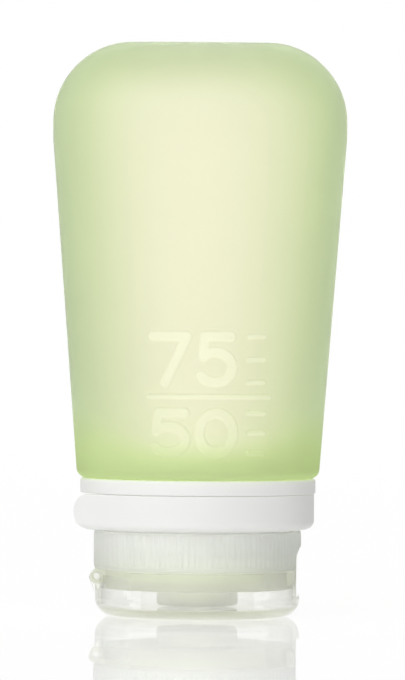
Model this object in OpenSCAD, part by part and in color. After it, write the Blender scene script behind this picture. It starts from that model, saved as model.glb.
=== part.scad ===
// Travel squeeze tube: a soft silicone bottle that stands on its own flip cap.
// Z points up, the origin is the centre of the resting face, and the front faces -Y.
// The lid is hinged on the -X side and is opened with the thumb on the +X side.

/* [Tube] */
// Length of the soft tube from its foot to its far end
tube_len = 83.6; // [60:0.1:140]
// Half of the widest width, near the far end
wide_half = 28.2; // [24:0.1:34]
// Half of the thickness near the far end, which is also the radius of its round end
thick_half = 16.5; // [12:0.1:19]
// Radius of the two far corners seen from the front
corner_r = 15.35; // [8:0.05:20]
// Wall of the soft tube
tube_wall = 1.8; // [1:0.1:2.4]
// Radius of the rounded edge at the foot
foot_round = 1.9; // [0.5:0.1:3]
// How far the foot stands out past the collar's flange
foot_over = 0.75; // [0.2:0.05:3]

/* [Neck] */
// Radius of the open mouth
mouth_r = 14.6; // [11:0.1:16]
// Wall of the neck inside the soft sleeve
neck_wall = 1.7; // [1.2:0.1:3]
// Height of the screw thread above the neck's barrel
thread_h = 1.0; // [0.6:0.1:1.6]
// Length of the threaded end
thread_len = 8.15; // [5:0.05:12]
// Thickness of the flange that holds the tube from inside
inner_flange_t = 1.5; // [0.8:0.1:3]
// Reach of that flange past the neck
inner_flange_over = 2.5; // [1:0.1:4]
// Thickness of the soft sleeve round the neck
sleeve_wall = 1.55; // [1:0.05:2.5]

/* [Collar] */
// Wall of the collar's barrel
barrel_wall = 1.45; // [1:0.05:3]
// Height of the barrel under the flange
barrel_len = 7; // [6:0.1:14]
// Thickness of the lip that closes on the neck
lip_t = 1.7; // [1:0.1:3]
// Thickness of the flange under the tube
flange_t = 2.75; // [1.5:0.05:5]
// How far the flange stands out past the loop
flange_over = 0.25; // [0:0.05:1.5]

/* [Hanging loop] */
// Height of the band
loop_h = 6.8; // [4:0.1:9]
// Thickness of the band
loop_t = 2.5; // [2:0.1:4]
// Radius of the band's lower outer edge
loop_round = 1.8; // [0.5:0.1:2]
// Direction of the band's hinge, seen from above
loop_hinge_at = 30; // [20:1:60]
// Direction where the band runs out into its flat pull tab
loop_tab_at = -132; // [-140:1:-110]
// Length of the pull tab
tab_len = 11.6; // [8:0.1:16]

/* [Cap] */
// Wall of the cap's skirt round its thread
skirt_wall = 2.15; // [1.6:0.05:3]
// Height of the ribs on the skirt
rib_h = 0.15; // [0.1:0.05:0.6]
// Number of ribs
rib_count = 112; // [60:2:140]
// Thickness of the deck across the cap
deck_t = 1.8; // [1:0.1:3]
// Radius of the boss that holds the valve
boss_r = 7.75; // [6.8:0.05:10]
// Height of the boss under the deck
boss_h = 3.25; // [2.6:0.05:6]
// Wall of the boss
boss_wall = 1.4; // [1:0.1:2]
// Radius of the pouring hole
orifice_r = 2.2; // [1.9:0.1:4]
// Depth of the thumb scoop
scoop_depth = 0.9; // [0.3:0.05:1]
// Radius of the scoop's upper end
scoop_r = 4; // [2:0.1:6]

/* [Lid] */
// Wall of the clear lid
lid_wall = 1.25; // [0.9:0.05:1.6]
// Thickness of the lid's floor
lid_floor = 1.8; // [1.2:0.1:3]
// Height of the lid's rim
lid_h = 8.85; // [8.4:0.05:11]
// How far the skirt stands out past the lid
lid_step = 0.15; // [0:0.05:0.6]
// Radius of the lid's lower outer edge
lid_round = 3.5; // [1:0.1:3.8]
// Radius of the lid's plug that stops the pouring hole
plug_r = 1.7; // [0.8:0.1:1.8]
// Height of the ledge that the thumb pushes
ledge_z = 4.1; // [3.9:0.05:5]
// Half width of the gap in the lid's rim at the thumb
notch_half = 6.8; // [5:0.1:9]

/* [Lid hinge] */
// Radius of the hinge knuckles
knuckle_r = 1.3; // [1.1:0.05:1.5]
// Radius of the hinge pins
pin_r = 0.7; // [0.5:0.05:0.8]
// Height of the hinge line
hinge_z = 7.5; // [7:0.05:7.6]
// Half width of the middle knuckle
knuckle_half = 2.8; // [2:0.1:4]
// Width of each outer knuckle
outer_knuckle_w = 3; // [2:0.1:4]

/* [Valve] */
// Thickness of the valve's rim
valve_t = 1.2; // [0.8:0.1:1.5]
// Thickness of the valve's slit centre
slit_t = 0.6; // [0.4:0.1:1]
// Thickness of the ring that holds the valve
retainer_t = 1.5; // [1:0.1:2]
// Thickness of the sealing ring under the neck
gasket_t = 1.1; // [0.6:0.1:2]

/* [Hidden] */
$fn = 96;

// Clearances
press = 0.05;
run_gap = 0.05;
face_gap = 0.2;
fit_gap = 0.25;
side_gap = 0.3;
cut = 1;

// Radii, from the mouth outwards
neck_r = mouth_r + neck_wall;
thread_root = neck_r + 0.3;
thread_crest = neck_r + thread_h;
sleeve_in = neck_r + press;
sleeve_out = sleeve_in + sleeve_wall;
barrel_in = sleeve_out + press;
barrel_r = barrel_in + barrel_wall;
loop_in = barrel_r + side_gap + 0.1;
loop_out = loop_in + loop_t;
loop_mid = loop_in + loop_t / 2;
flange_r = loop_out + flange_over;
foot_r = flange_r + foot_over;
bore_r = thread_crest + side_gap;
skirt_r = bore_r + skirt_wall;
rib_r = skirt_r + rib_h - press;
lid_r = skirt_r - lid_step;
lid_in = lid_r - lid_wall;
spigot_r = lid_in - fit_gap;
seat_bore_r = neck_r + 2 * side_gap;
valve_bore_r = boss_r - boss_wall;

// Heights, from the resting face upwards
boss_z = lid_floor + side_gap;
deck_z = boss_z + boss_h;
deck_top = deck_z + deck_t;
gasket_z = deck_top + run_gap;
neck_z = gasket_z + gasket_t + run_gap;
seat_z = neck_z + 1.35;
thread_top = neck_z + thread_len;
collar_z = thread_top + 0.1;
skirt_z = lid_h + face_gap;
skirt_top = collar_z - face_gap;
lip_top = collar_z + lip_t;
flange_z = collar_z + barrel_len;
flange_top = flange_z + flange_t;
foot_z = flange_top + press;
end_z = foot_z + tube_len;
loop_z = flange_z - 2 * run_gap - loop_h;
valve_z = boss_z + 1.2;
retainer_z = valve_z + valve_t;

// The hinge of the lid, the thumb scoop and the notch in the lid's rim
hinge_x = -(lid_r - 0.35);
hinge_flat_x = hinge_x + knuckle_r + 0.45;
hinge_side = knuckle_half + face_gap;
hinge_half = hinge_side + outer_knuckle_w;
relief_x = -0.64 * lid_r;
relief_z = hinge_z + 0.45;
scoop_x = skirt_r - scoop_depth;
notch_z = hinge_z - knuckle_r;
scoop_bend_z = skirt_z + 1.95;

// The hinge of the loop
lug_r = 1.6;
lug_half = 1.2;
lug_relief_r = lug_r + 0.45;
loop_pin_r = 0.8;
lug_top = collar_z + 1.4;
loop_knuckle_z = lug_top + side_gap;
nub_at = loop_tab_at + 7;
nub_r = 0.7;

// Points of an arc round [cx, cy]
function arc(cx, cy, r, a0, a1, n = 6) =
    [for (i = [0:n]) let (a = a0 + (a1 - a0) * i / n) [cx + r * cos(a), cy + r * sin(a)]];

// Straight ring with a true bore
module ring(r_out, r_in, z0, z1) {
    translate([0, 0, z0])
        difference() {
            cylinder(r = r_out, h = z1 - z0);
            translate([0, 0, -cut]) cylinder(r = r_in, h = z1 - z0 + 2 * cut);
        }
}

// Box centred on Y, from x0 to x1 and from z0 to z1
module slab(x0, x1, half_y, z0, z1) {
    translate([x0, -half_y, z0]) cube([x1 - x0, 2 * half_y, z1 - z0]);
}

// Shape of the soft tube. Each level is a superellipse that goes from a circle at the foot to a wide, flat oval.
round_z = end_z - thick_half;
corner_z = end_z - corner_r;
corner_x = wide_half - corner_r;
taper_z = foot_z + foot_round;
// Where the straight taper of the thickness runs out into the round end
tip_at = acos(thick_half / norm([foot_r, round_z - taper_z])) - atan2(round_z - taper_z, foot_r);
tip_z = round_z + thick_half * sin(tip_at);

function along(z) = min(1, max(0, (z - taper_z) / (corner_z - 3.15 - taper_z)));
function half_w(z, off) = z <= corner_z
    ? foot_r + (wide_half - foot_r) * along(z) - off
    : corner_x + sqrt(max(0, pow(corner_r - off, 2) - pow(z - corner_z, 2)));
function half_d(z, off) = z <= round_z + (thick_half - off) * sin(tip_at)
    ? foot_r + (thick_half * cos(tip_at) - foot_r) * max(0, z - taper_z) / (tip_z - taper_z) - off
    : sqrt(max(0, pow(thick_half - off, 2) - pow(z - round_z, 2)));
function power(z) = 2 + 0.3 * along(z);
function side(v, n) = sign(v) * pow(abs(v), 2 / n);
function level(z, off, n) =
    [for (i = [0:n - 1]) let (a = 360 * i / n)
        [half_w(z, off) * side(cos(a), power(z)), half_d(z, off) * side(sin(a), power(z)), z]];
function round_level(r, z, n) = [for (i = [0:n - 1]) let (a = 360 * i / n) [r * cos(a), r * sin(a), z]];

// Closed loft through rings of n points each
module loft(rings, n) {
    count = len(rings);
    points = [for (r = rings) each r];
    sides = [for (k = [0:count - 2], i = [0:n - 1], h = [0, 1]) let (j = (i + 1) % n, a = k * n, b = a + n)
        h == 0 ? [a + i, b + i, b + j] : [a + i, b + j, a + j]];
    bottom = [[for (i = [0:n - 1]) i]];
    top = [[for (i = [n - 1:-1:0]) (count - 1) * n + i]];
    polyhedron(points = points, faces = concat(bottom, sides, top));
}

module tube_outside(n = 56) {
    foot = [for (a = [0:30:60])
        round_level(foot_r - foot_round * (1 - sin(a)), taper_z - foot_round * cos(a), n)];
    body = [for (i = [0:8]) level(taper_z + (round_z - taper_z) * i / 8, 0, n)];
    tip = [for (a = [12, 24, 36, 47, 57, 66, 74, 81, 87]) level(round_z + thick_half * sin(a), 0, n)];
    loft(concat(foot, body, tip), n);
}

module tube_inside(n = 44) {
    start_z = foot_z + tube_wall;
    deep = thick_half - tube_wall;
    foot = [round_level(foot_r - tube_wall - 0.6, start_z, n)];
    body = [for (i = [0:6]) level(start_z + 0.8 + (round_z - start_z - 0.8) * i / 6, tube_wall, n)];
    tip = [for (a = [15, 30, 44, 57, 68, 78, 86]) level(round_z + deep * sin(a), tube_wall, n)];
    loft(concat(foot, body, tip), n);
}

// Soft silicone body with the sleeve that the collar clamps round the neck
module tube() {
    color([0.80, 0.89, 0.62])
        difference() {
            union() {
                tube_outside();
                translate([0, 0, lip_top + 0.1]) cylinder(r = sleeve_out, h = foot_z - lip_top + 0.4);
            }
            tube_inside();
            translate([0, 0, lip_top]) cylinder(r = sleeve_in, h = foot_z + tube_wall - lip_top + 0.4);
        }
}

// Neck with its inner flange, its step on the collar's lip and its threaded end
module neck_insert() {
    flange_in_z = foot_z + tube_wall + press;
    flange_out = neck_r + inner_flange_over;
    color([0.93, 0.94, 0.93])
        rotate_extrude()
            polygon(concat(
                [[mouth_r, neck_z], [neck_r, neck_z], [neck_r, seat_z], [thread_root, seat_z + 0.3],
                 [thread_root, thread_top - 0.75], [thread_crest + 0.25, thread_top - 0.45],
                 [thread_crest + 0.25, thread_top], [thread_crest, thread_top],
                 [thread_crest, lip_top], [neck_r, lip_top], [neck_r, flange_in_z]],
                [[flange_out, flange_in_z]],
                arc(flange_out - 0.5, flange_in_z + inner_flange_t - 0.5, 0.5, 0, 90, 4),
                [[mouth_r, flange_in_z + inner_flange_t]]));
}

// White collar: lip, barrel and flange, with the loop's lug and the pocket for its latch
module collar() {
    color([0.96, 0.96, 0.95])
        difference() {
            union() {
                rotate_extrude()
                    polygon(concat(
                        [[thread_crest + press, collar_z], [barrel_r - 0.3, collar_z],
                         [barrel_r, collar_z + 0.3], [barrel_r, flange_z]],
                        arc(flange_r - 0.2, flange_z + 0.2, 0.2, -90, 0, 3),
                        arc(flange_r - 0.5, flange_top - 0.5, 0.5, 0, 90, 4),
                        [[barrel_in, flange_top], [barrel_in, lip_top], [thread_crest + press, lip_top]]));
                rotate([0, 0, loop_hinge_at]) {
                    translate([loop_mid, 0, collar_z]) cylinder(r = lug_r, h = lug_top - collar_z);
                    slab(barrel_r - 0.6, loop_mid, lug_half, collar_z, lug_top);
                }
            }
            rotate([0, 0, loop_hinge_at])
                translate([loop_mid, 0, collar_z - cut])
                    cylinder(r = loop_pin_r + run_gap, h = flange_top - 0.9 - collar_z + cut);
            rotate([0, 0, nub_at - 3.5])
                rotate_extrude(angle = 13)
                    translate([barrel_r - 0.65, loop_z + 1.6])
                        square([1.5, loop_h - 3.2]);
        }
}

// Section of the loop's band, the same along its pull tab
module band_section() {
    polygon(concat(
        arc(loop_out - loop_round, loop_z + loop_round, loop_round, -90, 0, 6),
        arc(loop_out - 0.25, loop_z + loop_h - 0.25, 0.25, 0, 90, 3),
        arc(loop_in + 0.3, loop_z + loop_h - 0.3, 0.3, 90, 180, 2),
        arc(loop_in + 0.3, loop_z + 0.3, 0.3, 180, 270, 2)));
}

// Hanging loop: a band that swings out on its own pins, with a flat pull tab and a latch nub
module hang_loop() {
    tab_r = loop_h / 2;
    color([0.97, 0.97, 0.96])
        union() {
            difference() {
                rotate([0, 0, loop_tab_at])
                    rotate_extrude(angle = loop_hinge_at - loop_tab_at) band_section();
                rotate([0, 0, loop_hinge_at])
                    translate([loop_mid, 0, loop_z - cut])
                        cylinder(r = lug_relief_r, h = loop_knuckle_z - loop_z + cut);
            }
            rotate([0, 0, loop_tab_at])
                intersection() {
                    rotate([90, 0, 0]) linear_extrude(tab_len) band_section();
                    translate([loop_in - cut, 0, loop_z + tab_r])
                        rotate([90, 0, 90])
                            linear_extrude(loop_t + 2 * cut)
                                union() {
                                    translate([-tab_len + tab_r, 0]) circle(r = tab_r);
                                    translate([-tab_len + tab_r, -tab_r]) square([tab_len - tab_r, loop_h]);
                                }
                }
            rotate([0, 0, loop_hinge_at])
                translate([loop_mid, 0, 0]) {
                    translate([0, 0, loop_knuckle_z])
                        cylinder(r = loop_t / 2, h = loop_z + loop_h - loop_knuckle_z);
                    translate([0, 0, collar_z + 0.3])
                        cylinder(r = loop_pin_r, h = flange_z + flange_t / 2 - collar_z - 0.3);
                }
            rotate([0, 0, nub_at])
                translate([loop_in - 0.1, 0, loop_z + 1.9]) cylinder(r = nub_r, h = loop_h - 3.8, $fn = 32);
        }
}

// Soft sealing ring between the cap's deck and the neck
module gasket() {
    color([0.70, 0.82, 0.52])
        ring(neck_r + side_gap, mouth_r + side_gap, gasket_z, gasket_z + gasket_t);
}

// Space that the thumb scoop takes out of the cap and the lid
module scoop(z0) {
    slab(scoop_x, skirt_r + 4, skirt_r, z0, scoop_bend_z);
    translate([scoop_x + scoop_r, skirt_r, scoop_bend_z])
        rotate([90, 0, 0]) cylinder(r = scoop_r, h = 2 * skirt_r);
}

// Outline of the ribbed band, four points to a rib
function rib_outline() =
    [for (i = [0:rib_count - 1], k = [0:3])
        let (a = (i + [0, 0.22, 0.5, 0.72][k]) * 360 / rib_count, r = k == 1 || k == 2 ? rib_r : skirt_r - press)
        [r * cos(a), r * sin(a)]];

// Frosted cap: ribbed skirt, spigot, deck, valve boss, thumb pad and middle knuckle
module cap_body() {
    color([0.86, 0.88, 0.83])
        difference() {
            union() {
                difference() {
                    rotate_extrude() polygon(cap_section());
                    slab(-skirt_r, hinge_flat_x, hinge_half + 0.6, deck_z - cut, skirt_z);
                }
                difference() {
                    translate([0, 0, skirt_z + 0.9])
                        linear_extrude(skirt_top - skirt_z - 1.3) polygon(rib_outline());
                    translate([0, 0, skirt_z]) cylinder(r = skirt_r - 0.6, h = skirt_top);
                }
                intersection() {
                    ring(lid_r, spigot_r - 0.4, notch_z + face_gap, skirt_z + 0.3);
                    slab(0, skirt_r, notch_half - side_gap, notch_z, skirt_top);
                }
                middle_knuckle();
            }
            scoop(deck_z);
            translate([hinge_x, knuckle_half + cut, hinge_z])
                rotate([90, 0, 0]) cylinder(r = pin_r + run_gap, h = 2 * (knuckle_half + cut), $fn = 48);
        }
}

// Section of the cap from the pouring hole out to the skirt and back along the bore
function cap_section() = concat(
    [[orifice_r, boss_z]],
    arc(boss_r - 0.6, boss_z + 0.6, 0.6, -90, 0, 4),
    arc(boss_r + 0.8, deck_z - 0.8, 0.8, 180, 90, 4),
    arc(spigot_r - 0.4, deck_z + 0.4, 0.4, -90, 0, 3),
    [[spigot_r, skirt_z]],
    arc(skirt_r - 0.3, skirt_z + 0.3, 0.3, -90, 0, 4),
    arc(skirt_r - 0.3, skirt_top - 0.3, 0.3, 0, 90, 4),
    [[bore_r + 0.6, skirt_top], [bore_r, skirt_top - 0.6], [bore_r, seat_z], [seat_bore_r, seat_z],
     [seat_bore_r, deck_top], [valve_bore_r, deck_top], [valve_bore_r, valve_z], [orifice_r, valve_z]]);

// Knuckle on the cap's spigot, between the two on the lid
module middle_knuckle() {
    translate([0, knuckle_half, 0])
        rotate([90, 0, 0])
            linear_extrude(2 * knuckle_half)
                union() {
                    translate([hinge_x, hinge_z]) circle(r = knuckle_r, $fn = 48);
                    polygon([[hinge_flat_x + 0.3, hinge_z - knuckle_r], [hinge_x, hinge_z - knuckle_r],
                             [hinge_x - 0.35, skirt_z + 0.6], [hinge_flat_x + 0.3, skirt_z + 0.6]]);
                }
}

// Soft valve with a thin, slit centre
module valve() {
    lip = valve_bore_r - 2 * press;
    color([0.62, 0.76, 0.40])
        difference() {
            translate([0, 0, valve_z]) cylinder(r = lip, h = valve_t);
            translate([0, 0, valve_z - cut]) cylinder(r = orifice_r, h = cut + face_gap);
            translate([0, 0, valve_z + face_gap + slit_t]) cylinder(r1 = orifice_r, r2 = orifice_r + 1, h = valve_t);
            translate([0, 0, valve_z + face_gap + slit_t / 2]) cube([3, 0.06, slit_t + 0.1], center = true);
            translate([0, 0, valve_z + face_gap + slit_t / 2]) cube([0.06, 3, slit_t + 0.1], center = true);
        }
}

// Ring that keeps the valve in its boss
module valve_retainer() {
    color([0.90, 0.91, 0.88])
        ring(valve_bore_r - press, valve_bore_r - 2.1, retainer_z, retainer_z + retainer_t);
}

// Section of the lid from its centre out to the rim and back along the inside
function lid_section() = concat(
    [[0, 0]],
    arc(lid_r - lid_round, lid_round, lid_round, -90, 0, 8),
    arc(lid_r - 0.35, lid_h - 0.35, 0.35, 0, 90, 3),
    [[lid_in + 0.2, lid_h], [lid_in, lid_h - 0.2]],
    arc(lid_in - 0.8, lid_floor + 0.8, 0.8, 0, -90, 5),
    [[plug_r, lid_floor], [plug_r, boss_z + 0.6], [plug_r - 0.2, boss_z + 0.8], [0, boss_z + 0.8]]);

// Outer knuckle of the lid with its pin, on the side dir
module outer_knuckle(dir) {
    base = dir > 0 ? hinge_half : -hinge_side;
    translate([0, base, 0])
        rotate([90, 0, 0])
            linear_extrude(outer_knuckle_w)
                union() {
                    translate([hinge_x, hinge_z]) circle(r = knuckle_r, $fn = 48);
                    polygon([[hinge_x - knuckle_r * 0.93, hinge_z - knuckle_r * 0.37],
                             [hinge_x - 0.3, hinge_z - 2.6],
                             [hinge_x + 0.75, hinge_z - 2.6],
                             [hinge_x + knuckle_r * 0.9, hinge_z]]);
                }
    translate([hinge_x, dir > 0 ? hinge_side + 0.4 : -hinge_side + 1.2, hinge_z])
        rotate([90, 0, 0]) cylinder(r = pin_r, h = 1.6, $fn = 48);
}

// Clear lid with its hinge, thumb ledge and plug
module flip_lid() {
    color([0.93, 0.95, 0.94])
        union() {
            difference() {
                rotate_extrude() polygon(lid_section());
                slab(0, skirt_r, notch_half, notch_z, lid_h + cut);
                scoop(ledge_z);
                slab(-skirt_r, hinge_flat_x + 0.6, hinge_side, hinge_z - knuckle_r - 0.3, lid_h + cut);
                slab(-skirt_r, relief_x, skirt_r, relief_z, lid_h + cut);
            }
            outer_knuckle(1);
            outer_knuckle(-1);
        }
}

tube();
neck_insert();
collar();
hang_loop();
gasket();
cap_body();
valve();
valve_retainer();
flip_lid();
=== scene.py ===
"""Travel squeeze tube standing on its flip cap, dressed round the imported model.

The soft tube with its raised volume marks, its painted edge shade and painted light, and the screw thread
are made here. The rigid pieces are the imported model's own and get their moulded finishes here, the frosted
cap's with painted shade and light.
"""
import math

import bmesh
import bpy
import numpy as np
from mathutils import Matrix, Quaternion, Vector


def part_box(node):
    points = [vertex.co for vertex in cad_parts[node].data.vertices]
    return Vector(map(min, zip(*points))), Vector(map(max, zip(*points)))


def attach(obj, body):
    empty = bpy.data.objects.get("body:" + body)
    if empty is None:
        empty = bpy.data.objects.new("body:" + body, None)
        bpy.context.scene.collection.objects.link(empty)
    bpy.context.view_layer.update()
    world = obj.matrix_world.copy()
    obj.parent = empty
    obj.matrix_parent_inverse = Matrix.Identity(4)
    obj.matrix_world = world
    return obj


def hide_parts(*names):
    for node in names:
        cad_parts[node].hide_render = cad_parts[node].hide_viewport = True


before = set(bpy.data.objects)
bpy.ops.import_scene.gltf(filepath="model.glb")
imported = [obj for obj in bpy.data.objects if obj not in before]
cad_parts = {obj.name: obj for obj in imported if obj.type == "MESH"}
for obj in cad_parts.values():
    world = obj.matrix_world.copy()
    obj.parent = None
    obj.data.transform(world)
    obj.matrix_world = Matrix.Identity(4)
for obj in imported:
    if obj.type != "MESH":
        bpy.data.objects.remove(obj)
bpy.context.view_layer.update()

bl_info = {
    "name": "Travel Squeeze Tube",
    "version": (1, 0, 0),
    "blender": (4, 5, 0),
    "location": "View3D > Sidebar > Squeeze Tube",
    "description": "Makes a silicone travel tube with a frosted screw cap and a clear flip lid",
    "category": "Object",
}

MM = 0.001
TUBE_LOW, TUBE_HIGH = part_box("tube")
_, COLLAR_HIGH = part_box("collar")
NECK_LOW, NECK_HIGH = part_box("neck_insert")


class TubeSizes(bpy.types.PropertyGroup):
    """Sizes of the soft tube and its raised marks."""

    wide_half: bpy.props.FloatProperty(
        name="Half Width", description="Half of the widest width, near the far end",
        default=TUBE_HIGH.x, unit="LENGTH")
    foot_radius: bpy.props.FloatProperty(
        name="Foot Radius", description="Radius of the round foot",
        default=TUBE_HIGH.y, unit="LENGTH")
    end_radius: bpy.props.FloatProperty(
        name="End Radius", description="Radius of the round far end seen from the side",
        default=16.5 * MM, unit="LENGTH")
    corner_radius: bpy.props.FloatProperty(
        name="Corner Radius", description="Radius of the two far corners seen from the front",
        default=15.35 * MM, unit="LENGTH")
    foot_round: bpy.props.FloatProperty(
        name="Foot Edge", description="Radius of the rounded edge at the foot",
        default=1.9 * MM, unit="LENGTH")
    squareness: bpy.props.FloatProperty(
        name="Squareness", description="How far the far end's oval bulges past an ellipse", default=0.3)
    wall: bpy.props.FloatProperty(
        name="Wall", description="Wall of the soft tube", default=1.8 * MM, unit="LENGTH")
    relief: bpy.props.FloatProperty(
        name="Mark Relief", description="How far the volume marks stand out",
        default=0.26 * MM, unit="LENGTH")
    stroke: bpy.props.FloatProperty(
        name="Mark Stroke", description="Width of the strokes of the volume marks",
        default=1.75 * MM, unit="LENGTH")


class ThreadSizes(bpy.types.PropertyGroup):
    """Sizes of the screw thread between the neck and the cap."""

    lead: bpy.props.FloatProperty(
        name="Lead", description="Rise of the thread in one turn", default=4 * MM, unit="LENGTH")
    turns: bpy.props.FloatProperty(
        name="Turns", description="Turns of each ridge", default=0.8)
    starts: bpy.props.IntProperty(
        name="Starts", description="Number of ridges side by side", default=2)
    height: bpy.props.FloatProperty(
        name="Height", description="How far a ridge stands out", default=0.7 * MM, unit="LENGTH")
    width: bpy.props.FloatProperty(
        name="Width", description="Width of a ridge at its foot", default=0.8 * MM, unit="LENGTH")


class TubeFinishes(bpy.types.PropertyGroup):
    """Colours of the pieces, and the painted shade and light on the tube and the cap."""

    silicone: bpy.props.FloatVectorProperty(
        name="Silicone", description="Colour of the see-through silicone",
        subtype="COLOR", size=4, default=(0.885, 0.868, 0.753, 1), min=0, max=1)
    # Own green of the seals, and painted edge shade at the tube's narrow sides and far end
    seal_green_and_edge_shade: bpy.props.FloatVectorProperty(
        name="Seal Green And Edge Shade", description="Own green of the seals, and painted edge shade of the tube at its sides and ends",
        subtype="COLOR", size=4, default=(0.7, 0.785, 0.53, 1), min=0, max=1)
    frosted: bpy.props.FloatVectorProperty(
        name="Frosted Plastic", description="Colour of the frosted cap",
        subtype="COLOR", size=4, default=(0.915, 0.925, 0.9, 1), min=0, max=1)
    # Painted shade: the skirt turns darker and a little greener towards its lower edge
    frosted_painted_shade: bpy.props.FloatVectorProperty(
        name="Frosted Painted Shade", description="Painted shade of the frosted cap towards the skirt's lower edge",
        subtype="COLOR", size=4, default=(0.8, 0.815, 0.76, 1), min=0, max=1)
    # Painted green cast of the seals on the deck and the boss, which hold them
    frosted_seal_green_cast: bpy.props.FloatVectorProperty(
        name="Frosted Seal Green Cast", description="Painted green cast of the seals on the cap's deck and boss",
        subtype="COLOR", size=4, default=(0.785, 0.8, 0.71, 1), min=0, max=1)
    clear: bpy.props.FloatVectorProperty(
        name="Clear Plastic", description="Colour of the clear lid",
        subtype="COLOR", size=4, default=(0.985, 0.99, 0.985, 1), min=0, max=1)
    white: bpy.props.FloatVectorProperty(
        name="White Plastic", description="Colour of the collar and the loop",
        subtype="COLOR", size=4, default=(0.88, 0.88, 0.87, 1), min=0, max=1)


class StageSettings(bpy.types.PropertyGroup):
    """The camera, the lamps and the floor."""

    distance: bpy.props.FloatProperty(
        name="Camera Distance", description="From the camera to the tube's axis",
        default=0.779, unit="LENGTH")
    height: bpy.props.FloatProperty(
        name="Camera Height", description="Height of the camera above the floor",
        default=0.048, unit="LENGTH")
    side: bpy.props.FloatProperty(
        name="Camera Side", description="How far the camera stands to the right",
        default=0.0007, unit="LENGTH")
    aim: bpy.props.FloatProperty(
        name="Aim Height", description="Height that the camera looks at",
        default=0.05284, unit="LENGTH")
    roll: bpy.props.FloatProperty(
        name="Camera Roll", description="Turn of the camera about its view, in degrees", default=0.39)
    lens: bpy.props.FloatProperty(
        name="Lens", description="Focal length in millimetres", default=215)
    ambient: bpy.props.FloatProperty(
        name="Room Light", description="Level of the light from all round", default=0.29)
    key: bpy.props.FloatProperty(
        name="Key Light", description="Strength of the soft light from the front", default=1.57)
    side_light: bpy.props.FloatProperty(
        name="Side Light", description="Strength of the soft light from the left", default=0.4)
    back_light: bpy.props.FloatProperty(
        name="Back Light", description="Strength of the soft light from behind", default=0.25)
    under_light: bpy.props.FloatProperty(
        name="Under Light", description="Strength of the soft light up through the floor", default=0.85)


class TubeSettings(bpy.types.PropertyGroup):
    """All the settings of the squeeze tube."""

    tube: bpy.props.PointerProperty(type=TubeSizes)
    thread: bpy.props.PointerProperty(type=ThreadSizes)
    finishes: bpy.props.PointerProperty(type=TubeFinishes)
    stage: bpy.props.PointerProperty(type=StageSettings)


# Making and joining nodes

def wired(tree, kind, inputs=None, **settings):
    """A new node with these settings. Each input gets a value or is joined to the socket that feeds it."""
    node = tree.nodes.new(kind)
    for name, value in settings.items():
        setattr(node, name, value)
    for name, value in (inputs or {}).items():
        if isinstance(value, bpy.types.NodeSocket):
            tree.links.new(value, node.inputs[name])
        else:
            node.inputs[name].default_value = value
    return node


def reckoned(tree, operation, *values):
    """Result of a math node."""
    return wired(tree, "ShaderNodeMath", dict(enumerate(values)), operation=operation).outputs[0]


def mixed_colour(tree, share, first, second):
    """The first colour where the share is 0 and the second where it is 1."""
    inputs = {"Factor": share, "A": first, "B": second}
    return wired(tree, "ShaderNodeMix", inputs, data_type="RGBA").outputs["Result"]


def mixed_shader(tree, share, first, second):
    """The first shader where the share is 0 and the second where it is 1."""
    return wired(tree, "ShaderNodeMixShader", {"Fac": share, 1: first, 2: second}).outputs["Shader"]


def source_of(socket):
    """The socket that feeds this one."""
    return socket.links[0].from_socket


def new_group(name, kind, inputs, outputs):
    """A new node group, its entry's sockets and its exit's. A row is a socket's name, kind and default."""
    tree = bpy.data.node_groups.new(name, kind)
    for way, rows in (("OUTPUT", outputs), ("INPUT", inputs)):
        for label, socket_kind, *default in rows:
            socket = tree.interface.new_socket(label, in_out=way, socket_type="NodeSocket" + socket_kind)
            if default:
                socket.default_value = default[0]
    entry = tree.nodes.new("NodeGroupInput")
    leave = tree.nodes.new("NodeGroupOutput")
    return tree, entry.outputs, leave.inputs


# Shader groups

def moulded_grain():
    """Node group: fine grain of a moulded surface, as a roughness and a height."""
    tree = bpy.data.node_groups.get("moulded grain")
    if tree:
        return tree
    tree, entry, leave = new_group(
        "moulded grain", "ShaderNodeTree",
        (("Scale", "Float", 900), ("Roughness", "Float", 0.4), ("Spread", "Float", 0.08)),
        (("Roughness", "Float"), ("Height", "Float")))
    place = wired(tree, "ShaderNodeTexCoord").outputs["Object"]
    fine = wired(tree, "ShaderNodeTexNoise", {"Vector": place, "Scale": entry["Scale"], "Detail": 3})
    broad = wired(tree, "ShaderNodeTexNoise", {"Vector": place, "Scale": 60, "Detail": 2})
    swing = reckoned(tree, "SUBTRACT", broad.outputs["Fac"], 0.5)
    swing = reckoned(tree, "MULTIPLY", swing, entry["Spread"])
    tree.links.new(reckoned(tree, "ADD", swing, entry["Roughness"]), leave["Roughness"])
    tree.links.new(fine.outputs["Fac"], leave["Height"])
    return tree


def colour_drift():
    """Node group: a colour that drifts slowly towards a second one over the surface."""
    tree = bpy.data.node_groups.get("colour drift")
    if tree:
        return tree
    tree, entry, leave = new_group(
        "colour drift", "ShaderNodeTree",
        (("Scale", "Float", 40), ("Base", "Color"), ("Drift", "Color")), (("Color", "Color"),))
    place = wired(tree, "ShaderNodeTexCoord").outputs["Object"]
    cloud = wired(tree, "ShaderNodeTexNoise", {"Vector": place, "Scale": entry["Scale"], "Detail": 4})
    drifted = mixed_colour(tree, cloud.outputs["Fac"], entry["Base"], entry["Drift"])
    tree.links.new(drifted, leave["Color"])
    return tree


# Materials

GRAIN_DEPTH = 0.1 * MM
WALL_IOR = 1.45
EDGE_POWER = 3
FOOT_GLOW, SEAT_GLOW = 0.46, 0.76
SEAT_HEIGHTS = (29.2 * MM, 23.8 * MM)
SKIRT_HEIGHTS = (15 * MM, 9 * MM)
DECK_HEIGHTS = (9.2 * MM, 8.9 * MM)
BOSS_HEIGHTS = (5.8 * MM, 4.6 * MM)
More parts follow.
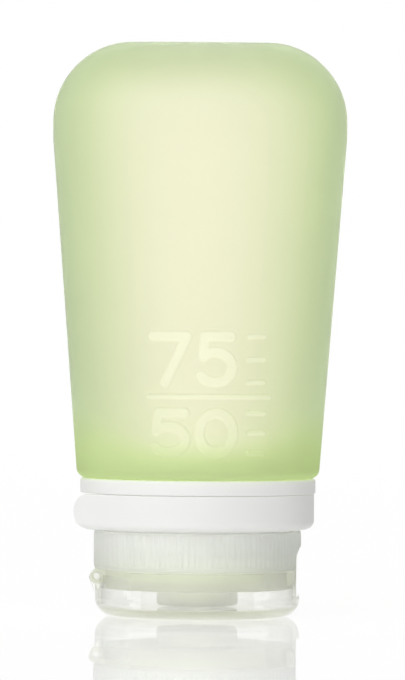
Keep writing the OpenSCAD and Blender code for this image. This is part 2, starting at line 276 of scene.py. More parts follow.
# How much lighter the boss is painted than the deck
BOSS_PAINTED_LIGHT = 1.36
SEAL_DARKER = 0.95


def shifted(colour, factor):
    """The colour made a little lighter or darker."""
    return tuple(min(1, c * factor) for c in colour[:3]) + (1,)


def moulded_material(name, colour, roughness, grain=900, bump=0.02, spread=0.08, drift=0.96, **constants):
    """A moulded finish of drifting colour, grained roughness and fine bump.
    The constants go on the shader's own sockets."""
    material = bpy.data.materials.new(name)
    material.use_nodes = True
    tree = material.node_tree
    shader = tree.nodes["Principled BSDF"].inputs
    tint = wired(tree, "ShaderNodeGroup", {"Base": colour, "Drift": shifted(colour, drift)},
                 node_tree=colour_drift())
    surface = wired(tree, "ShaderNodeGroup", {"Scale": grain, "Roughness": roughness, "Spread": spread},
                    node_tree=moulded_grain())
    relief = wired(tree, "ShaderNodeBump", {
        "Strength": bump, "Distance": GRAIN_DEPTH, "Height": surface.outputs["Height"]})
    tree.links.new(tint.outputs["Color"], shader["Base Color"])
    tree.links.new(surface.outputs["Roughness"], shader["Roughness"])
    tree.links.new(relief.outputs["Normal"], shader["Normal"])
    for socket, value in constants.items():
        shader[socket.replace("_", " ")].default_value = value
    return material


def absorb(tree, colour, density):
    """Gives a see-through piece a colour that grows with the thickness the light passes."""
    body = wired(tree, "ShaderNodeVolumeAbsorption", {"Color": colour, "Density": density})
    tree.links.new(body.outputs["Volume"], tree.nodes["Material Output"].inputs["Volume"])


def darker_along_walls(tree, tint, edge_tint):
    """The tint, which turns to the edge tint where the view runs along an upright wall."""
    normal = wired(tree, "ShaderNodeTexCoord").outputs["Normal"]
    slope = wired(tree, "ShaderNodeSeparateXYZ", {"Vector": normal}).outputs["Z"]
    upright = reckoned(tree, "SUBTRACT", 1, reckoned(tree, "ABSOLUTE", slope))
    along = wired(tree, "ShaderNodeLayerWeight").outputs["Facing"]
    share = reckoned(tree, "MULTIPLY", reckoned(tree, "POWER", along, EDGE_POWER), upright)
    return mixed_colour(tree, share, tint, edge_tint)


def let_light_through(material, tint, sheer=0.0, edge_tint=None):
    """Lets the lamps' light pass a see-through piece, and the sheer share of the view where it mirrors
    little. The edge tint, if there is one, takes over where the view runs along an upright wall."""
    tree = material.node_tree
    colour = darker_along_walls(tree, tint, edge_tint) if edge_tint else tint
    through = wired(tree, "ShaderNodeBsdfTransparent", {"Color": colour})
    gloss = wired(tree, "ShaderNodeFresnel", {"IOR": WALL_IOR})
    inside = wired(tree, "ShaderNodeNewGeometry").outputs["Backfacing"]
    outside = reckoned(tree, "SUBTRACT", 1, inside)
    mirrored = reckoned(tree, "MULTIPLY", outside, gloss.outputs["Fac"])
    passing = reckoned(tree, "MULTIPLY_ADD", mirrored, -sheer, sheer)
    shadow = wired(tree, "ShaderNodeLightPath").outputs["Is Shadow Ray"]
    share = reckoned(tree, "MAXIMUM", shadow, passing)
    surface = tree.nodes["Material Output"].inputs["Surface"]
    tree.links.new(mixed_shader(tree, share, source_of(surface), through.outputs["BSDF"]), surface)
    return material


def attribute(tree, name):
    """The number that the mesh's points hold under this name."""
    return wired(tree, "ShaderNodeAttribute", attribute_name=name).outputs["Fac"]


def below(tree, start, stop):
    """0 above the start height, 1 below the stop height and a soft change between them."""
    place = wired(tree, "ShaderNodeTexCoord").outputs["Object"]
    height = wired(tree, "ShaderNodeSeparateXYZ", {"Vector": place}).outputs["Z"]
    inputs = {"Value": height, "From Min": start, "From Max": stop}
    return wired(tree, "ShaderNodeMapRange", inputs, interpolation_type="SMOOTHSTEP").outputs["Result"]


def silicone_material(pale, deep):
    """See-through satin silicone: pale where light passes straight, with deep green painted shade at the
    sides and the ends, where the view runs edge-on through the wall.
    """
    material = moulded_material(
        "see-through silicone", pale, roughness=0.45, grain=700, bump=0.04, drift=0.985,
        Transmission_Weight=0.86, IOR=1.41, Specular_IOR_Level=0.25)
    tree = material.node_tree
    base = tree.nodes["Principled BSDF"].inputs["Base Color"]
    # Painted highlight: the raised marks are painted lighter than the wall
    mark_highlight_tint = (1, 0.99, 0.89, 1)
    # Painted shade: deep green where the view runs edge-on through the wall
    tint = mixed_colour(tree, attribute(tree, "edge_shade"), source_of(base), deep)
    tint = mixed_colour(tree, attribute(tree, "mark_highlight"), tint, mark_highlight_tint)
    tree.links.new(tint, base)
    absorb(tree, colour=(0.42, 0.66, 0.36, 1), density=20)
    cloudy_foot(tree)
    return let_light_through(material, tint=(0.93, 0.945, 0.85, 1))


def cloudy_foot(tree):
    """Makes the thick foot of the silicone look solid, with painted light that makes it lighter towards its
    lower edge, where it lies on the collar.
    """
    foot_colour = (0.705, 0.8, 0.47, 1)
    # Painted light: lighter colour towards the foot's downward-facing lower edge
    seat_painted_light = (0.92, 1, 0.66, 1)
    low = below(tree, *SEAT_HEIGHTS)
    colour = mixed_colour(tree, low, foot_colour, seat_painted_light)
    matt = wired(tree, "ShaderNodeBsdfDiffuse", {"Color": colour}).outputs["BSDF"]
    glowing = wired(tree, "ShaderNodeBsdfTranslucent", {"Color": colour}).outputs["BSDF"]
    glow_share = reckoned(tree, "MULTIPLY_ADD", low, SEAT_GLOW - FOOT_GLOW, FOOT_GLOW)
    solid = mixed_shader(tree, glow_share, matt, glowing)
    skin = tree.nodes["Principled BSDF"].outputs["BSDF"]
    whole = mixed_shader(tree, attribute(tree, "foot"), skin, solid)
    tree.links.new(whole, tree.nodes["Material Output"].inputs["Surface"])


def frosted_material(colour, shade, inner):
    """Frosted plastic of the cap. The skirt gets painted shade towards its lower edge. The deck and the
    boss, which hold the green seals, get a painted green cast from the seals, and the boss is painted
    lighter.
    """
    material = moulded_material(
        "frosted plastic", colour, roughness=0.5, grain=1500, bump=0.05,
        Transmission_Weight=0.64, IOR=1.45)
    tree = material.node_tree
    base = tree.nodes["Principled BSDF"].inputs["Base Color"]
    tint = source_of(base)
    # Painted light: the boss gets a lighter copy of the deck's green cast
    boss = shifted(inner, BOSS_PAINTED_LIGHT)
    # Painted shade on the skirt, painted green cast on the deck, and painted light on the boss
    for heights, layer in ((SKIRT_HEIGHTS, shade), (DECK_HEIGHTS, inner), (BOSS_HEIGHTS, boss)):
        tint = mixed_colour(tree, below(tree, *heights), tint, layer)
    tree.links.new(tint, base)
    return let_light_through(material, tint=(0.92, 0.93, 0.90, 1))


def clear_material(colour):
    """Clear plastic of the lid."""
    material = moulded_material(
        "clear plastic", colour, roughness=0.04, grain=500, bump=0.005, spread=0.03, drift=0.99,
        Transmission_Weight=0.93, IOR=1.4)
    absorb(material.node_tree, colour=(0.51, 0.53, 0.27, 1), density=28)
    edge_tint = (0.62, 0.625, 0.6, 1)
    return let_light_through(material, tint=(1, 1, 0.998, 1), sheer=0.8, edge_tint=edge_tint)


def white_material(colour):
    """White plastic of the collar, the loop, the neck and the valve's ring. Some light goes through it."""
    material = moulded_material(
        "white plastic", colour, roughness=0.5, grain=1200, bump=0.03, Specular_IOR_Level=0.2,
        Subsurface_Weight=0.4, Subsurface_Scale=1.5 * MM, Subsurface_Radius=(1, 1, 1))
    return let_light_through(material, tint=(0.74, 0.74, 0.73, 1))


def dress(nodes, material):
    """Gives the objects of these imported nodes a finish."""
    for node in nodes:
        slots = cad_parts[node].data.materials
        slots.clear()
        slots.append(material)


# Making meshes with geometry nodes

MERGE_DISTANCE = 0.002 * MM
SHORTEST_EDGE = 0.001 * MM


def end_growth(tree, geometry, entry, leave):
    """Ends a geometry tree: real points and faces, in the material that goes in."""
    real = wired(tree, "GeometryNodeRealizeInstances", {"Geometry": geometry})
    dressed = wired(tree, "GeometryNodeSetMaterial", {
        "Geometry": real.outputs["Geometry"], "Material": entry["Material"]})
    tree.links.new(dressed.outputs["Geometry"], leave["Geometry"])


def grown(name, tree, values, start=None):
    """A plain mesh object made by a geometry node tree from a starting mesh and these input values."""
    seed = bpy.data.objects.new(name + "_seed", start or bpy.data.meshes.new(name + "_seed"))
    bpy.context.scene.collection.objects.link(seed)
    modifier = seed.modifiers.new("growth", "NODES")
    modifier.node_group = tree
    for item in tree.interface.items_tree:
        if item.in_out == "INPUT" and item.name in values:
            modifier[item.identifier] = values[item.name]
    depsgraph = bpy.context.evaluated_depsgraph_get()
    mesh = bpy.data.meshes.new_from_object(seed.evaluated_get(depsgraph), depsgraph=depsgraph)
    seed.modifiers.clear()
    bpy.data.objects.remove(seed)
    mesh.name = name
    work = bmesh.new()
    work.from_mesh(mesh)
    bmesh.ops.remove_doubles(work, verts=work.verts, dist=MERGE_DISTANCE)
    bmesh.ops.dissolve_degenerate(work, edges=work.edges, dist=SHORTEST_EDGE)
    bmesh.ops.recalc_face_normals(work, faces=work.faces)
    work.to_mesh(mesh)
    work.free()
    piece = bpy.data.objects.new(name, mesh)
    bpy.context.scene.collection.objects.link(piece)
    return piece


def store(mesh, name, values):
    """Keeps one number for each point of the mesh under a name."""
    mesh.attributes.new(name, "FLOAT", "POINT").data.foreach_set("value", values)


# Shape of the soft tube

FOOT_GAP = 0.05 * MM
WIDE_DROP = 3.15 * MM
SLEEVE_GAP = 0.9 * MM
SLEEVE_WALL = 1.55 * MM
INSIDE_EDGE_RISE = 0.9 * MM
INSIDE_EDGE_INSET = 0.6 * MM
INSIDE_RINGS = 24
DENSE_LOW, DENSE_HIGH = 29.5 * MM, 55.5 * MM
COARSE_STEP, FINE_STEP = 1.3 * MM, 0.18 * MM
FOOT_TURNS = np.radians(np.arange(0, 90, 11.25))
TIP_TURNS = np.radians(np.concatenate((np.arange(0, 84, 3), [84, 86.5, 88.5, 89.3])))


class TubeShape:
    """Heights and radii of the soft tube: a circle at the foot that widens into a flat, round-ended oval."""

    def __init__(self, sizes):
        self.foot_r = sizes.foot_radius
        self.end_r = sizes.end_radius
        self.foot_z = COLLAR_HIGH.z + FOOT_GAP
        self.taper_z = self.foot_z + sizes.foot_round
        self.round_z = TUBE_HIGH.z - self.end_r
        self.corner_z = TUBE_HIGH.z - sizes.corner_radius
        self.wide_z = self.corner_z - WIDE_DROP
        rise = self.round_z - self.taper_z
        self.lean = math.acos(self.end_r / math.hypot(self.foot_r, rise)) - math.atan2(rise, self.foot_r)
        self.tip_z = self.round_z + self.end_r * math.sin(self.lean)
        self.tip_half = self.end_r * math.cos(self.lean)

    def rings(self, sizes):
        """Rings of the wall in order, as rows of height, inset and radius.
        A ring of radius 0 follows the tube's own shape."""
        rounding = sizes.foot_round
        heights = dense_steps(self.taper_z, self.round_z, DENSE_LOW, DENSE_HIGH, COARSE_STEP, FINE_STEP)
        deep = self.end_r - sizes.wall
        sleeve_out = NECK_HIGH.x - SLEEVE_GAP
        sleeve_in = sleeve_out - SLEEVE_WALL
        inside_low = self.foot_z + sizes.wall
        inside_heights = np.linspace(self.round_z, inside_low + INSIDE_EDGE_RISE, INSIDE_RINGS)[1:]
        rows = [(TUBE_LOW.z, 0, sleeve_in), (TUBE_LOW.z, 0, sleeve_out), (self.foot_z, 0, sleeve_out)]
        rows += [(self.taper_z - rounding * math.cos(a), 0, self.foot_r - rounding * (1 - math.sin(a)))
                 for a in FOOT_TURNS]
        rows += [(z, 0, 0) for z in heights]
        rows += [(self.round_z + self.end_r * math.sin(a), 0, 0) for a in TIP_TURNS]
        rows += [(self.round_z + deep * math.sin(a), sizes.wall, 0) for a in TIP_TURNS[::-1][::2]]
        rows += [(z, sizes.wall, 0) for z in inside_heights]
        rows += [(inside_low, 0, self.foot_r - sizes.wall - INSIDE_EDGE_INSET), (inside_low, 0, sleeve_in)]
        return np.array(rows)


def tube_tree():
    """Geometry nodes: places each point of the seed on the tube's wall by its height, inset, radius
    and turn, and keeps how far to the side it lies."""
    tree = bpy.data.node_groups.get("soft tube")
    if tree:
        return tree
    floats = ("Foot Radius", "Wide Half", "End Radius", "Corner Radius", "Squareness", "Taper Height",
              "Wide Height", "Corner Height", "Round Height", "Tip Height", "Tip Half", "Lean")
    tree, entry, leave = new_group(
        "soft tube", "GeometryNodeTree",
        [("Geometry", "Geometry"), *((name, "Float") for name in floats), ("Material", "Material")],
        [("Geometry", "Geometry")])
    foot_r, wide, end_r, corner_r, squareness, taper_z, wide_z, corner_z, round_z, tip_z, tip_half, lean = (
        entry[name] for name in floats)

    def stored(name):
        source = wired(tree, "GeometryNodeInputNamedAttribute", {"Name": name}, data_type="FLOAT")
        return source.outputs["Attribute"]

    def math_of(operation, *values):
        return reckoned(tree, operation, *values)

    def ramp(*values):
        return wired(tree, "ShaderNodeMapRange", dict(enumerate(values))).outputs[0]

    def either(share, low, high):
        return wired(tree, "ShaderNodeMix", {0: share, 2: low, 3: high}).outputs[0]

    def arc_of(radius, centre):
        reach = math_of("POWER", math_of("SUBTRACT", radius, inset), 2)
        rise = math_of("POWER", math_of("ABSOLUTE", math_of("SUBTRACT", height, centre)), 2)
        return math_of("SQRT", math_of("MAXIMUM", math_of("SUBTRACT", reach, rise), 0))

    height, inset, radius, turn = (stored(name) for name in ("height", "inset", "radius", "turn"))
    along = ramp(height, taper_z, wide_z, 0, 1)
    bend = math_of("DIVIDE", 2, math_of("MULTIPLY_ADD", along, squareness, 2))
    taper_w = math_of("SUBTRACT", ramp(height, taper_z, wide_z, foot_r, wide), inset)
    corner = math_of("ADD", arc_of(corner_r, corner_z), math_of("SUBTRACT", wide, corner_r))
    half_w = either(math_of("GREATER_THAN", height, corner_z), taper_w, corner)
    taper_d = math_of("SUBTRACT", ramp(height, taper_z, tip_z, foot_r, tip_half), inset)
    turn_z = math_of("MULTIPLY_ADD", math_of("SUBTRACT", end_r, inset), math_of("SINE", lean), round_z)
    half_d = either(math_of("GREATER_THAN", height, turn_z), taper_d, arc_of(end_r, round_z))
    on_circle = math_of("GREATER_THAN", radius, 0)

    def across(wave, half):
        value = math_of(wave, turn)
        share = math_of("POWER", math_of("ABSOLUTE", value), bend)
        oval = math_of("MULTIPLY", math_of("MULTIPLY", math_of("SIGN", value), share), half)
        return either(on_circle, oval, math_of("MULTIPLY", value, radius)), share

    x, side_share = across("COSINE", half_w)
    y, _ = across("SINE", half_d)
    spot = wired(tree, "ShaderNodeCombineXYZ", {"X": x, "Y": y, "Z": height})
    placed = wired(tree, "GeometryNodeSetPosition", {
        "Geometry": entry["Geometry"], "Position": spot.outputs["Vector"]})
    kept = wired(tree, "GeometryNodeStoreNamedAttribute", {
        "Geometry": placed.outputs["Geometry"], "Name": "side", "Value": side_share})
    end_growth(tree, kept.outputs["Geometry"], entry, leave)
    return tree


def dense_steps(start, stop, dense_from, dense_to, coarse, fine):
    """Values from start to stop, coarse apart, and fine apart between dense_from and dense_to."""
    parts = ((start, dense_from, coarse), (dense_from, dense_to, fine), (dense_to, stop, coarse))
    runs = [np.linspace(a, b, max(1, round((b - a) / step)), endpoint=False) for a, b, step in parts]
    return np.concatenate(runs)


def join_levels(levels, count):
    """Faces between rings of count points each, as quads."""
    ring = np.arange(count)
    after = (ring + 1) % count
    starts = np.arange(levels - 1) * count
    return np.concatenate([np.column_stack((k + ring, k + after, k + count + after, k + count + ring))
                           for k in starts])


# Raised volume marks, in millimetres on the tube's front

MARK_LEFT, MARK_RIGHT = -9.2, 13.2
MARK_MARGIN = 1.5
MARK_EDGE = 0.3
# Share of the marks' painted highlight that the lower number keeps
LOWER_MARK_HIGHLIGHT = 0.4
RULE_Z, RULE_HALF = 42.1, 0.38
UPPER_LOW, UPPER_HIGH = 44.8, 53.4
LOWER_LOW, LOWER_HIGH = 31.7, 39.1
DIGIT_LEFT = MARK_LEFT + 0.8
DIGIT_PITCH = 8.6
DIGIT_WIDTH = 6.3
TICK_LEFT, TICK_RIGHT = 9.3, 12.2
TICK_COUNT = 3


def bow(cx, cy, rx, ry, start, stop, steps=18):
    """Points along part of an ellipse, in degrees."""
    angles = np.radians(np.linspace(start, stop, steps))
    return list(zip(cx + rx * np.cos(angles), cy + ry * np.sin(angles)))


DIGITS = {
    "0": bow(0.5, 0.5, 0.5, 0.5, 0, 360, 30),
    "5": [(0.92, 1), (0.16, 1), (0.1, 0.55)] + bow(0.46, 0.33, 0.5, 0.33, 128, -145),
    "7": [(0, 1), (0.98, 1), (0.36, 0)],
}


def written(number, low, high):
    """Centre lines of a number's strokes, between two heights."""
    strokes = []
    for k, digit in enumerate(number):
        left = DIGIT_LEFT + k * DIGIT_PITCH
        strokes.append([(left + u * DIGIT_WIDTH, low + v * (high - low)) for u, v in DIGITS[digit]])
    return strokes


def ticks(low, high):
    """Short level marks beside a number."""
    return [[(TICK_LEFT, z), (TICK_RIGHT, z)] for z in np.linspace(low, high, TICK_COUNT)]


def distance_to(strokes, x, z):
    """Distance from each point to the nearest stroke."""
    best = np.full(len(x), np.inf)
    for stroke in strokes:
        for (ax, az), (bx, bz) in zip(stroke, stroke[1:]):
            dx, dz = bx - ax, bz - az
            t = np.clip(((x - ax) * dx + (z - az) * dz) / (dx * dx + dz * dz), 0, 1)
            best = np.minimum(best, np.hypot(x - ax - t * dx, z - az - t * dz))
    return best


def eased(share):
    """The share from 0 to 1, with a soft start and end."""
    share = np.clip(share, 0, 1)
    return share * share * (3 - 2 * share)


def soft_step(distance, half):
    """1 nearer than half the stroke's width and 0 outside, with a soft edge."""
    return eased((half + MARK_EDGE / 2 - distance) / MARK_EDGE)


def mark_height(x, z, stroke):
    """Height of the marks from 0 to 1 at points on the front, in millimetres."""
    thick = written("75", UPPER_LOW, UPPER_HIGH) + written("50", LOWER_LOW, LOWER_HIGH)
    thin = ticks(UPPER_LOW, UPPER_HIGH) + ticks(LOWER_LOW, LOWER_HIGH)
    thin.append([(MARK_LEFT, RULE_Z), (MARK_RIGHT, RULE_Z)])
    bold = soft_step(distance_to(thick, x, z), stroke / 2)
    fine = soft_step(distance_to(thin, x, z), RULE_HALF)
    return np.maximum(bold, fine)


# The soft tube

FRONT_TURN = 1.5 * math.pi
FRONT_FROM, FRONT_TO = FRONT_TURN - 0.47, FRONT_TURN + 0.62
COARSE_TURN, FINE_TURN = 0.045, 0.0072
FRONT_FACING = -0.5

# Where the silicone gets painted edge shade or looks solid, with heights in millimetres
SIDE_POWER = 2.6
FAR_START, FAR_LENGTH, FAR_END_SHADE = 94, 16, 0.92
FOOT_TOP, FOOT_CLIMB, FOOT_SIDE_SHADE_CLIMB, FOOT_SOLID = 28.5, 6, 8, 0.85


def soft_tube(sizes, material):
    """The whole wall of the tube, outside and inside, as one closed mesh with its marks raised.
    Points are dense at the front, where the marks are."""
    shape = TubeShape(sizes)
    angles = dense_steps(0, 2 * math.pi, FRONT_FROM, FRONT_TO, COARSE_TURN, FINE_TURN)
    rings = shape.rings(sizes)
    count = len(angles)
    ring = np.arange(count)
    first, last = ring, (len(rings) - 1) * count + ring
    inner = int(np.argmax(rings[:, 1] > 0))
    outside = join_levels(inner, count)
    inside = join_levels(len(rings) - inner, count) + inner * count
    mouth = np.column_stack((last, np.roll(last, -1), np.roll(first, -1), first))
    crests = [(k * count + ring).tolist() for k in (inner - 1, inner)]
    seed = bpy.data.meshes.new("tube_seed")
    faces = np.concatenate((outside, inside, mouth)).tolist() + crests
    seed.from_pydata(np.zeros((len(rings) * count, 3)).tolist(), [], faces)
    for name, values in zip(("height", "inset", "radius"), np.repeat(rings, count, axis=0).T):
        store(seed, name, values)
    store(seed, "turn", np.tile(angles, len(rings)))
    piece = grown("tube_shell", tube_tree(), {
        "Foot Radius": shape.foot_r,
        "Wide Half": sizes.wide_half,
        "End Radius": shape.end_r,
        "Corner Radius": sizes.corner_radius,
        "Squareness": sizes.squareness,
        "Taper Height": shape.taper_z,
        "Wide Height": shape.wide_z,
        "Corner Height": shape.corner_z,
        "Round Height": shape.round_z,
        "Tip Height": shape.tip_z,
        "Tip Half": shape.tip_half,
        "Lean": shape.lean,
        "Material": material,
    }, seed)
    raise_marks(piece.data, shape, sizes)
    piece.data.polygons.foreach_set("use_smooth", [True] * len(piece.data.polygons))
    return piece


def raise_marks(mesh, shape, sizes):
    """Lifts the tube's front where the volume marks are, and stores the numbers that the material reads: the
    marks' painted highlight, the painted edge shade and the solid foot.
    """
    total = len(mesh.vertices)
    points, normals, side = np.empty(total * 3), np.empty(total * 3), np.empty(total)
    mesh.vertices.foreach_get("co", points)
    mesh.vertices.foreach_get("normal", normals)
    mesh.attributes["side"].data.foreach_get("value", side)
    points = points.reshape(-1, 3)
    normals = normals.reshape(-1, 3)
    x, y, z = points.T / MM
    region = (normals[:, 1] < FRONT_FACING) & (y < -shape.tip_half / MM)
    region &= (x > MARK_LEFT - MARK_MARGIN) & (x < MARK_RIGHT + MARK_MARGIN)
    region &= (z > LOWER_LOW - MARK_MARGIN) & (z < UPPER_HIGH + MARK_MARGIN)
    marked = np.zeros(total)
    marked[region] = mark_height(x[region], z[region], sizes.stroke / MM)
    points += normals * (marked * sizes.relief)[:, None]
    mesh.vertices.foreach_set("co", points.ravel())
    for name in ("height", "inset", "radius", "turn", "side"):
        mesh.attributes.remove(mesh.attributes[name])
    # The marks' painted highlight fades towards the lower number
    climb = np.clip((z - LOWER_LOW) / (UPPER_LOW - LOWER_LOW), 0, 1)
    faded = LOWER_MARK_HIGHLIGHT + (1 - LOWER_MARK_HIGHLIGHT) * climb
    store(mesh, "mark_highlight", marked * faded)
    store(mesh, "edge_shade", painted_edge_shade(side, points[:, 2] / MM))
    store(mesh, "foot", foot_share(side, points[:, 2] / MM))
    mesh.update()


def painted_edge_shade(side, z):
    """Share of painted edge shade: 0 on the broad faces, 1 at the narrow sides, nearly 1 at the far end,
    where the view runs edge-on through the wall.
    """
    far = FAR_END_SHADE * np.clip((z - FAR_START) / FAR_LENGTH, 0, 1) ** 2
    return 1 - (1 - side ** SIDE_POWER) * (1 - far)


def foot_share(side, z):
    """How solid the silicone looks, from 0 on the body to its most at the thick foot. It starts higher at
    the sides, as painted shade where the view runs edge-on through the wall."""
    climb = FOOT_CLIMB + FOOT_SIDE_SHADE_CLIMB * side ** 3
    return FOOT_SOLID * eased((FOOT_TOP + climb - z) / climb)


# Screw thread

THREAD_START = 2.2 * MM
THREAD_INSET = 2.2 * MM
THREAD_GAP = 0.3 * MM
RIDGE_CENTRE = 0.45
RIDGE_TIP, RIDGE_TAPER = 0.02, 0.12


def thread_tree():
    """Geometry nodes: ridges of a screw thread with tapering ends, side by side round the axis."""
    tree = bpy.data.node_groups.get("screw thread")
    if tree:
        return tree
    floats = ("Radius", "Start Height", "Rise", "Turns", "Half Width", "Ridge Height", "Section Turn")
    tree, entry, leave = new_group(
        "screw thread", "GeometryNodeTree",
        [("Geometry", "Geometry"), *((name, "Float") for name in floats), ("Starts", "Int"),
         ("Material", "Material")],
        [("Geometry", "Geometry")])
    helix = wired(tree, "GeometryNodeCurveSpiral", {
        "Resolution": 96, "Rotations": entry["Turns"], "Start Radius": entry["Radius"],
        "End Radius": entry["Radius"], "Height": entry["Rise"]})
    lift = wired(tree, "ShaderNodeCombineXYZ", {"Z": entry["Start Height"]})
    place = wired(tree, "GeometryNodeSetPosition", {
        "Geometry": helix.outputs["Curve"], "Offset": lift.outputs["Vector"]})
    path = wired(tree, "GeometryNodeSetCurveNormal", {"Curve": place.outputs["Geometry"]}, mode="Z_UP")
    along = wired(tree, "GeometryNodeSplineParameter")
    taper = wired(tree, "ShaderNodeFloatCurve", {"Value": along.outputs["Factor"]})
    shape = taper.mapping.curves[0].points
    shape[0].location = (0, RIDGE_TIP)
    shape[1].location = (1, RIDGE_TIP)
    shape.new(RIDGE_TAPER, 1)
    shape.new(1 - RIDGE_TAPER, 1)
    taper.mapping.update()
    section = wired(tree, "GeometryNodeCurvePrimitiveQuadrilateral", {
        "Height": entry["Ridge Height"], "Bottom Width": reckoned(tree, "MULTIPLY", entry["Half Width"], 2),
        "Top Width": entry["Half Width"], "Offset": 0}, mode="TRAPEZOID")
    lie = wired(tree, "ShaderNodeCombineXYZ", {"Z": entry["Section Turn"]})
    turned = wired(tree, "GeometryNodeTransform", {
        "Geometry": section.outputs["Curve"], "Rotation": lie.outputs["Vector"]})
    ridge = wired(tree, "GeometryNodeCurveToMesh", {
        "Curve": path.outputs["Curve"], "Profile Curve": turned.outputs["Geometry"],
        "Scale": taper.outputs["Value"], "Fill Caps": True})
    axis_points = wired(tree, "GeometryNodeMeshLine", {"Count": entry["Starts"], "Offset": (0, 0, 0)})
    index = wired(tree, "GeometryNodeInputIndex").outputs["Index"]
    step = reckoned(tree, "DIVIDE", 2 * math.pi, entry["Starts"])
    about = wired(tree, "ShaderNodeCombineXYZ", {"Z": reckoned(tree, "MULTIPLY", index, step)})
    copies = wired(tree, "GeometryNodeInstanceOnPoints", {
        "Points": axis_points.outputs["Mesh"], "Instance": ridge.outputs["Mesh"],
        "Rotation": about.outputs["Vector"]})
    end_growth(tree, copies.outputs["Instances"], entry, leave)
    return tree


def thread_ridges(name, radius, inward, start_z, sizes, material):
    """Ridges on the neck, or inside the cap where inward is true. They are sunk a little into the wall."""
    side = -1 if inward else 1
    return grown(name, thread_tree(), {
        "Radius": radius + side * sizes.height * RIDGE_CENTRE,
        "Start Height": start_z,
        "Rise": sizes.lead * sizes.turns,
        "Turns": sizes.turns,
        "Half Width": sizes.width / 2,
        "Ridge Height": sizes.height,
        "Section Turn": side * math.pi / 2,
        "Starts": sizes.starts,
        "Material": material,
    })


class MakeTube(bpy.types.Operator):
    """Make the soft silicone tube with its raised volume marks, its painted edge shade, painted light on its
    foot and a painted highlight on its marks.
    """

    bl_idname = "squeeze_tube.make_tube"
    bl_label = "Soft Tube"

    def execute(self, context):
        settings = context.scene.squeeze_tube
        material = silicone_material(settings.finishes.silicone, settings.finishes.seal_green_and_edge_shade)
        piece = soft_tube(settings.tube, material)
        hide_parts("tube")
        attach(piece, "bottle")
        return {"FINISHED"}


class DressRigidPieces(bpy.types.Operator):
    """Give the collar, the loop, the cap, the lid and the seals their finishes, the frosted cap's with
    painted shade and light.
    """

    bl_idname = "squeeze_tube.dress_rigid_pieces"
    bl_label = "Rigid Pieces"

    def execute(self, context):
        finishes = context.scene.squeeze_tube.finishes
        dress(("collar", "hang_loop", "neck_insert", "valve_retainer"), white_material(finishes.white))
        frosted = frosted_material(finishes.frosted, finishes.frosted_painted_shade, finishes.frosted_seal_green_cast)
        dress(("cap_body",), frosted)
        dress(("flip_lid",), clear_material(finishes.clear))
        seal_colour = shifted(finishes.seal_green_and_edge_shade, SEAL_DARKER)
        seal = moulded_material("seal silicone", seal_colour, roughness=0.5)
        dress(("gasket", "valve"), seal)
        return {"FINISHED"}


class MakeThread(bpy.types.Operator):
    """Make the screw thread on the neck and inside the cap, after the rigid pieces have their finishes."""

    bl_idname = "squeeze_tube.make_thread"
    bl_label = "Screw Thread"

    def execute(self, context):
        sizes = context.scene.squeeze_tube.thread
        low = NECK_LOW.z + THREAD_START
        root = NECK_HIGH.x - THREAD_INSET
        bore = root + sizes.height + THREAD_GAP
        white = bpy.data.materials["white plastic"]
        frosted = bpy.data.materials["frosted plastic"]
        neck = thread_ridges("neck_thread", root, False, low, sizes, white)
        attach(neck, "bottle")
        cap = thread_ridges("cap_thread", bore, True, low + sizes.lead / 4, sizes, frosted)
        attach(cap, "cap")
        return {"FINISHED"}


# Stage

FLOOR_REACH = 6.0
FLOOR_Z = -0.02 * MM
FLOOR_SOLID = 0.45
LIGHT_SPREAD = math.radians(60)


def floor_material():
    """White glossy floor with a soft shadow, which shows what swings below it.
    Only the eye sees its gloss, and the object's own faces get the light of a matt white floor."""
    material = bpy.data.materials.new("white floor")
    material.use_nodes = True
    tree = material.node_tree
    tree.nodes.remove(tree.nodes["Principled BSDF"])
    matt = wired(tree, "ShaderNodeBsdfDiffuse", {"Color": (0.9, 0.9, 0.9, 1)}).outputs[0]
    shade = wired(tree, "ShaderNodeBsdfDiffuse", {"Color": (0.55, 0.55, 0.55, 1)}).outputs[0]
    glow = wired(tree, "ShaderNodeEmission", {"Strength": 0.58}).outputs[0]
    lit = wired(tree, "ShaderNodeAddShader", {0: shade, 1: glow}).outputs[0]
    through = wired(tree, "ShaderNodeBsdfTransparent").outputs[0]
    sheer = mixed_shader(tree, FLOOR_SOLID, through, lit)
    gloss = wired(tree, "ShaderNodeBsdfGlossy", {"Color": (1, 1, 1, 1), "Roughness": 0.02},
                  distribution="MULTI_GGX").outputs[0]
    sheen = wired(tree, "ShaderNodeFresnel", {"IOR": 1.084}).outputs[0]
    polished = mixed_shader(tree, sheen, sheer, gloss)
    ray = wired(tree, "ShaderNodeLightPath").outputs
    direct = mixed_shader(tree, ray["Is Camera Ray"], sheer, polished)
    seen = mixed_shader(tree, ray["Is Diffuse Ray"], direct, matt)
    tree.links.new(seen, tree.nodes["Material Output"].inputs["Surface"])
    return material


def white_room(ambient):
    """World that looks white and lights the object at the room's level."""
    world = bpy.data.worlds.new("white room")
    bpy.context.scene.world = world
    world.use_nodes = True
    tree = world.node_tree
    ray = wired(tree, "ShaderNodeLightPath").outputs
    seen = reckoned(tree, "MAXIMUM", ray["Is Camera Ray"], ray["Is Glossy Ray"])
    seen = reckoned(tree, "MAXIMUM", seen, ray["Is Transmission Ray"])
    level = wired(tree, "ShaderNodeMix", {"Factor": seen, "A": ambient, "B": 1.0}, data_type="FLOAT")
    back = tree.nodes["Background"].inputs
    back["Color"].default_value = (1, 1, 1, 1)
    tree.links.new(level.outputs["Result"], back["Strength"])


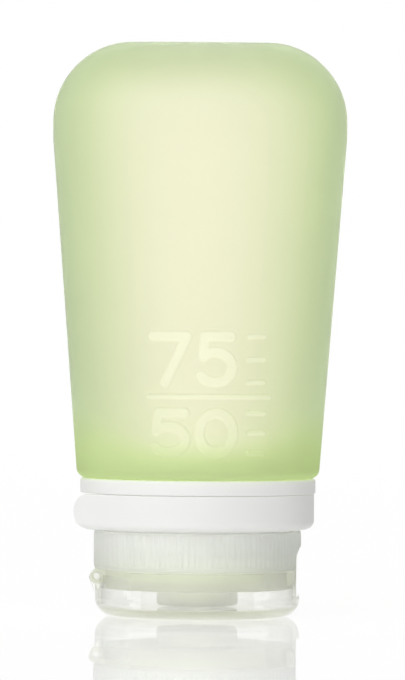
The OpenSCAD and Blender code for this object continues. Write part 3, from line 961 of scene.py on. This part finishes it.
def soft_light(name, azimuth, elevation, strength):
    """A very soft light from far away, turned to the tube. Azimuth 0 is the front and 90 the right."""
    lamp = bpy.data.lights.new(name, "SUN")
    lamp.energy = strength
    lamp.angle = LIGHT_SPREAD
    holder = bpy.data.objects.new(name, lamp)
    turn, rise = math.radians(azimuth), math.radians(elevation)
    towards = Vector((math.sin(turn) * math.cos(rise), -math.cos(turn) * math.cos(rise), math.sin(rise)))
    holder.location = towards
    holder.rotation_euler = (-towards).to_track_quat("-Z", "Y").to_euler()
    bpy.context.scene.collection.objects.link(holder)


class MakeStage(bpy.types.Operator):
    """Make the floor, the room, the lamps and the camera."""

    bl_idname = "squeeze_tube.make_stage"
    bl_label = "Stage"

    def execute(self, context):
        stage = context.scene.squeeze_tube.stage
        mesh = bpy.data.meshes.new("floor")
        sides = ((-1, -1), (1, -1), (1, 1), (-1, 1))
        corners = [(x * FLOOR_REACH, y * FLOOR_REACH, FLOOR_Z) for x, y in sides]
        mesh.from_pydata(corners, [], [(0, 1, 2, 3)])
        mesh.materials.append(floor_material())
        floor = bpy.data.objects.new("floor", mesh)
        context.scene.collection.objects.link(floor)
        white_room(stage.ambient)
        soft_light("front_light", azimuth=-13, elevation=35, strength=stage.key)
        soft_light("left_light", azimuth=-85, elevation=30, strength=stage.side_light)
        soft_light("back_light", azimuth=170, elevation=40, strength=stage.back_light)
        soft_light("under_light", azimuth=-10, elevation=-55, strength=stage.under_light)
        lens = bpy.data.cameras.new("camera")
        lens.lens = stage.lens
        camera = bpy.data.objects.new("camera", lens)
        camera.location = (stage.side, -stage.distance, stage.height)
        view = Vector((stage.side, 0, stage.aim)) - camera.location
        level = view.to_track_quat("-Z", "Y")
        camera.rotation_euler = (level @ Quaternion((0, 0, 1), math.radians(stage.roll))).to_euler()
        context.scene.collection.objects.link(camera)
        context.scene.camera = camera
        context.scene.view_settings.view_transform = "Standard"
        return {"FINISHED"}


class SqueezeTubePanel(bpy.types.Panel):
    """Lists the pieces of the squeeze tube."""

    bl_idname = "VIEW3D_PT_squeeze_tube"
    bl_label = "Squeeze Tube"
    bl_space_type = "VIEW_3D"
    bl_region_type = "UI"
    bl_category = "Squeeze Tube"

    def draw(self, context):
        settings = context.scene.squeeze_tube
        for group in (settings.tube, settings.thread, settings.finishes, settings.stage):
            box = self.layout.box()
            for name in group.bl_rna.properties.keys():
                if name not in ("rna_type", "name"):
                    box.prop(group, name)
        for maker in MAKERS:
            self.layout.operator(maker.bl_idname)


MAKERS = (MakeTube, DressRigidPieces, MakeThread, MakeStage)
CLASSES = (TubeSizes, ThreadSizes, TubeFinishes, StageSettings, TubeSettings, *MAKERS, SqueezeTubePanel)


def register():
    for cls in CLASSES:
        bpy.utils.register_class(cls)
    bpy.types.Scene.squeeze_tube = bpy.props.PointerProperty(type=TubeSettings)


def unregister():
    del bpy.types.Scene.squeeze_tube
    for cls in reversed(CLASSES):
        bpy.utils.unregister_class(cls)


def main():
    register()
    bpy.ops.squeeze_tube.make_tube()
    bpy.ops.squeeze_tube.dress_rigid_pieces()
    bpy.ops.squeeze_tube.make_thread()
    bpy.ops.squeeze_tube.make_stage()


if __name__ == "__main__":
    main()
